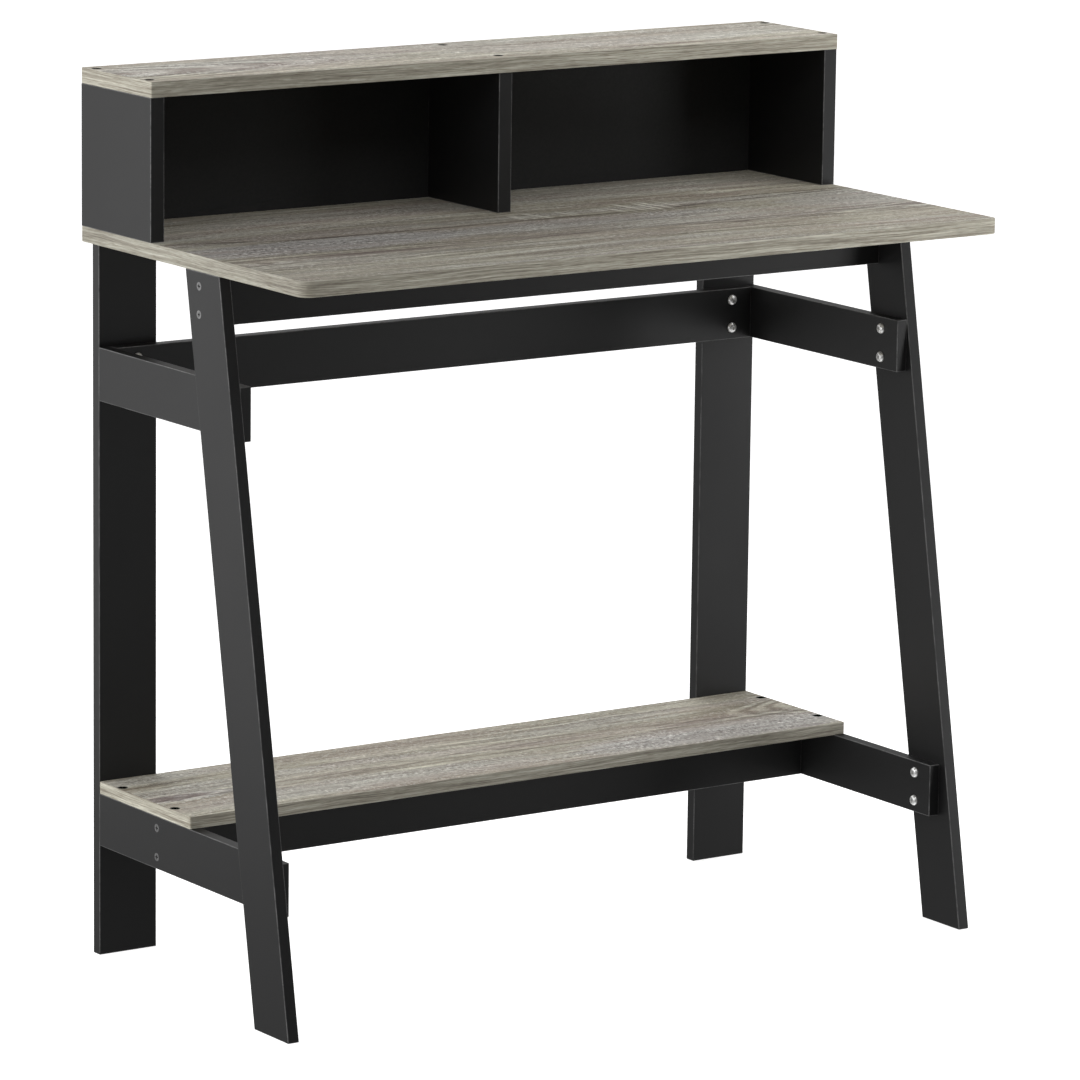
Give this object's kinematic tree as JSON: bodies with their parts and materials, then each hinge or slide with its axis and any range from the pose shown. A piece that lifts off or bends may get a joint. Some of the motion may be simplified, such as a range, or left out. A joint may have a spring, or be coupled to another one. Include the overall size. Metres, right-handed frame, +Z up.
{
  "type": "writing desk with hutch",
  "caption": "Small A-frame writing desk of black boards with slanted front legs, a wood-print desktop, a low open two-bay hutch along the rear and a narrow lower shelf.",
  "frame": {"origin": "middle of the footprint, on the floor under the legs", "axes": "+Z up, +X to the right of a person sitting at the desk, +Y from that person towards the hutch; the open front faces -Y"},
  "size_m": [0.8, 0.398, 0.87],
  "materials": {
    "oak_print": "grey oak print on particle board, matt",
    "oak_edge_band": "light oak edge band, satin",
    "black_board": "black melamine-faced board, fine-textured satin",
    "black_hardboard": "black-faced hardboard, matt",
    "black_steel": "black oxide",
    "zinc_bolt": "zinc plated",
    "zinc_screw": "zinc plated, dull",
    "birch_dowel": "plain fluted hardwood dowel",
    "bracket_steel": "zinc plated sheet"
  },
  "bodies": {
    "root": {"apron_screw_1": "zinc_screw", "apron_screw_2": "zinc_screw", "apron_screw_3": "zinc_screw", "apron_screw_4": "zinc_screw", "back_panel_nails": "zinc_screw", "bracket_screws": "zinc_screw", "corner_bracket_1": "bracket_steel", "corner_bracket_2": "bracket_steel", "desktop": "oak_print", "desktop_edge_band": "oak_edge_band", "front_apron": "black_board", "hutch_back_panel": "black_hardboard", "hutch_base_screws": "zinc_screw", "hutch_divider": "black_board", "hutch_left_side": "black_board", "hutch_right_side": "black_board", "hutch_top": "oak_print", "hutch_top_edge_band": "oak_edge_band", "hutch_top_screw_1": "black_steel", "hutch_top_screw_2": "black_steel", "hutch_top_screw_3": "black_steel", "hutch_top_screw_4": "black_steel", "hutch_top_screw_5": "black_steel", "hutch_top_screw_6": "black_steel", "left_front_leg": "black_board", "left_lower_rail": "black_board", "left_rear_leg": "black_board", "left_upper_rail": "black_board", "lower_rail_bolt_1": "zinc_bolt", "lower_rail_bolt_2": "zinc_bolt", "lower_rail_bolt_3": "zinc_bolt", "lower_rail_bolt_4": "zinc_bolt", "lower_shelf": "oak_print", "lower_shelf_edge_band": "oak_edge_band", "rear_leg_dowels": "birch_dowel", "rear_leg_screws": "zinc_screw", "rear_stretcher": "black_board", "right_front_leg": "black_board", "right_lower_rail": "black_board", "right_rear_leg": "black_board", "right_upper_rail": "black_board", "shelf_screw_1": "black_steel", "shelf_screw_2": "black_steel", "shelf_screw_3": "black_steel", "shelf_screw_4": "black_steel", "shelf_stretcher": "black_board", "shelf_stretcher_screw_1": "zinc_screw", "shelf_stretcher_screw_2": "zinc_screw", "shelf_stretcher_screw_3": "zinc_screw", "shelf_stretcher_screw_4": "zinc_screw", "stretcher_bolt_1": "zinc_bolt", "stretcher_bolt_2": "zinc_bolt", "stretcher_bolt_3": "zinc_bolt", "stretcher_bolt_4": "zinc_bolt", "upper_rail_bolt_1": "zinc_bolt", "upper_rail_bolt_2": "zinc_bolt", "upper_rail_bolt_3": "zinc_bolt", "upper_rail_bolt_4": "zinc_bolt"}
  },
  "joints": []
}
